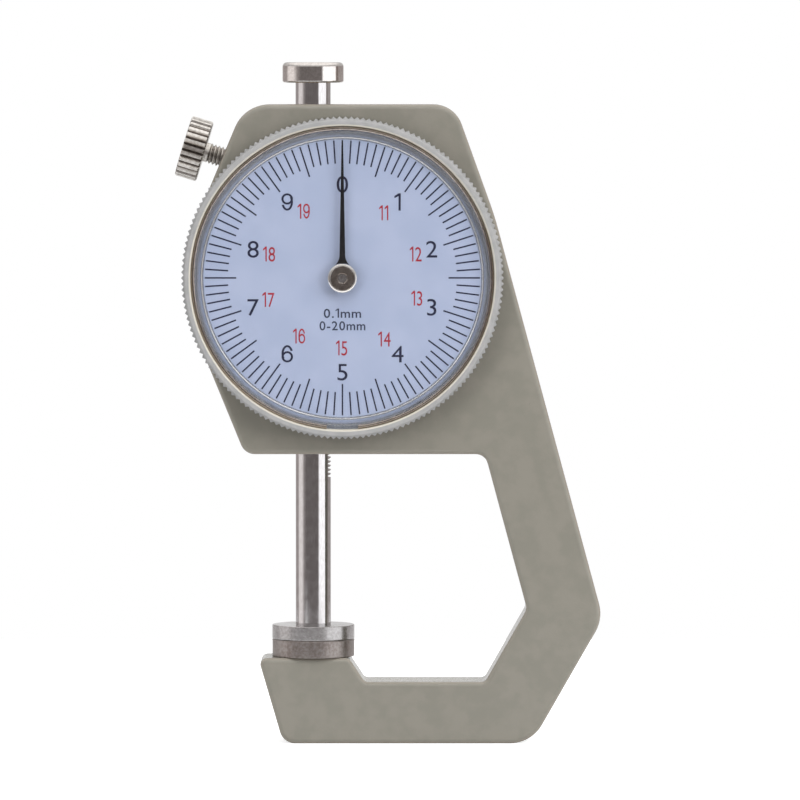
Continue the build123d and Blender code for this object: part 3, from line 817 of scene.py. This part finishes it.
section = [
    (arbor_bore, hub_back, 0),
    (hub_radius, hub_back, 0.08),
    (hub_radius, hub_front, 0.26),
    (face_radius + 0.03, hub_front, 0.03),
    (face_radius, hub_face, 0.03),
    (rivet_radius + 0.1, hub_face, 0),
    (rivet_radius, rivet_front, 0.03),
    (arbor_bore, rivet_front, 0),
]
hub = shape_mesh("pointer_hub_turned", turned(section, 96), facing, hub_chrome)
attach(hub, "pointer")
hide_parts("pointer_hub")


# Crystal
# A moulded cap of clear acrylic with a rounded rim and a bead at its foot, dulled along its wall. A split
# ring of spring wire holds the bead down in the bezel.
crystal_back, crystal_front = [-depth for depth in reversed(levels("crystal", 1))]
crystal_radius = 17.7
crystal_wall = 0.75
crystal_bore = crystal_radius - crystal_wall
crystal_roof = crystal_front - 0.9
cap_rounding = 0.9
bead_radius = 18.2
bead_front = crystal_back + 0.6
acrylic, place = blank("clear_acrylic")
ripple = specks(place, 5.0, 0.5, 1.0)
wall_zone = from_middle(place).step(crystal_bore - 0.3, crystal_bore - 0.05)
clear = place.node(
    "ShaderNodeBsdfPrincipled",
    {},
    {
        "Base Color": wall_zone.tint(grey(1.0), (0.75, 0.765, 0.79, 1.0)),
        "Roughness": wall_zone * 0.17 + 0.01,
        "IOR": 1.49,
        "Transmission Weight": 1.0,
        "Normal": relief(ripple, 0.002),
    },
)
lets_through = place.node("ShaderNodeBsdfTransparent", {}, {"Color": (0.97, 0.97, 0.97, 1.0)})
shadow_ray, wide_ray = rays(place, "Shadow", "Diffuse")
pane = place.node("ShaderNodeMixShader", {}, {0: shadow_ray + wide_ray, 1: clear, 2: lets_through})
pane.node("ShaderNodeOutputMaterial", {}, {"Surface": pane})
section = [
    (0, crystal_front, 0),
    (crystal_radius, crystal_front, cap_rounding),
    (crystal_radius, bead_front, 0),
    (bead_radius, bead_front, 0.08),
    (bead_radius, crystal_back, 0.08),
    (crystal_bore, crystal_back, 0),
    (crystal_bore, crystal_roof, 0.3),
    (0, crystal_roof, 0),
]
crystal = shape_mesh("crystal_moulded", turned(section, 192), facing, acrylic)
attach(crystal, "bezel")
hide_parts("crystal")

snap_steel = metal("snap_steel", (0.42, 0.36, 0.31), (0.56, 0.49, 0.43), rough=0.12, grain=0.3, depth=0.0003)
snap_gap = radians(12)
wire_radius = (ring_front - ring_back) / 2
wire_middle = 18.05
wire = bmesh.new()
on_edge = Matrix.Translation((wire_middle, 0, (ring_front + ring_back) / 2)) @ Matrix.Rotation(pi / 2, 4, "X")
bmesh.ops.create_circle(wire, segments=16, radius=wire_radius, matrix=on_edge)
spin(wire, 180, 2 * pi - snap_gap)
wire.transform(Matrix.Rotation(snap_gap / 2 - pi / 2, 4, "Z"))
snap_ring = shape_mesh("snap_ring_wire", wire, facing, snap_steel)
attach(snap_ring, "bezel")
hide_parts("snap_ring")


# Lock screw
# A nickel-plated thumb screw with a straight-knurled head and a fine rolled thread. It presses a brass pad
# against the spindle.
lock = next(joint for joint in frame["joints"] if joint["name"] == "lock_turn")
outward = Vector(lock["axis"])
lean = Matrix.Rotation(atan2(outward.x, outward.z), 4, "Y")
lock_place = Matrix.Translation(lock["pos_m"]) @ lean @ upright
knob_low = 13.75
knob_high = 16.45
knob_radius = 3.75
knob_teeth = 28
knurl_depth = 0.42
knurl_crest = 0.2
knob_bevel = 0.2
knob_bevel_height = 0.14
knob_rounding = 0.05
thread_radius = 1.25
thread_pitch = 0.45
thread_depth = 0.27
nickel, place = blank("lock_nickel")
stain = specks(place, 0.4, 0.5, 3.0)
arm = place.node("ShaderNodeVectorMath", {"operation": "SUBTRACT"}, {0: place, 1: lock["pos_m"]})
across = arm.node("ShaderNodeVectorMath", {"operation": "CROSS_PRODUCT"}, {0: arm, 1: lock["axis"]})
out = across.node("ShaderNodeVectorMath", {"operation": "LENGTH"}, {0: across}, 1) * (1 / millimetre)
# The thread's roots and the knurl's grooves are painted darker by their distance from the axis: painted
# shade.
thread_root_shade = 1.0 - out.step(thread_radius - 0.22, thread_radius - 0.08)
knurl_floor = knob_radius - knurl_depth
groove_shade = (0.12, 0.09, 0.08, 1.0)
knurl_groove_shade = out.step(knurl_floor - 0.06, knurl_floor) - out.step(knob_radius - 0.26, knob_radius - 0.1)
plate = stain.step(0.3, 0.7).tint((0.60, 0.57, 0.53, 1.0), (0.84, 0.81, 0.78, 1.0))
coat(
    nickel,
    place,
    Base_Color=(thread_root_shade * 0.5 + knurl_groove_shade * 0.65).tint(plate, groove_shade),
    Metallic=1.0,
    Roughness=0.32,
    Normal=relief(stain, 0.001),
)
section = [
    (0, knob_low, 0),
    (knob_radius - knob_bevel, knob_low, knob_rounding),
    (knob_radius, knob_low + knob_bevel_height, knob_rounding),
    (knob_radius, knob_high - knob_bevel_height, knob_rounding),
    (knob_radius - knob_bevel, knob_high, knob_rounding),
    (0, knob_high, 0),
]
knob_shape = turned(section, knob_teeth * 10)
knurl(knob_shape, knob_radius, knurl_depth, knob_teeth, knurl_crest)
knob = shape_mesh("lock_knob", knob_shape, lock_place, nickel)
tip = 4.6
thread_turns = 18
core_radius = thread_radius - thread_depth
neck_low = knob_low - 0.6
neck_radius = thread_radius - 0.06
into_knob = knob_low + 0.1
section = [
    (0, tip, 0),
    (core_radius, tip, 0.15),
    (core_radius, neck_low, 0),
    (neck_radius, neck_low + 0.1, 0.05),
    (neck_radius, into_knob, 0),
    (0, into_knob, 0),
]
core = shape_mesh("lock_core", turned(section, 48), lock_place, nickel)
thread = bmesh.new()
root = core_radius - 0.02
start = tip + 0.2
crest = start + thread_pitch / 2
corners = [
    (root, start),
    (thread_radius, crest - 0.02),
    (thread_radius, crest + 0.02),
    (root, start + thread_pitch),
]
ridge = [thread.verts.new((radius, 0, height)) for radius, height in corners]
for index, vert in enumerate(ridge):
    thread.edges.new((ridge[index - 1], vert))
steps_per_turn = 36
spin(thread, steps_per_turn * thread_turns, 2 * pi * thread_turns, thread_pitch * thread_turns)
screw_thread = shape_mesh("lock_thread", thread, lock_place, nickel, corner=25)
for piece in (knob, core, screw_thread):
    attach(piece, "lock_screw")
    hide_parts("lock_screw")
dress(brass, "lock_pad")
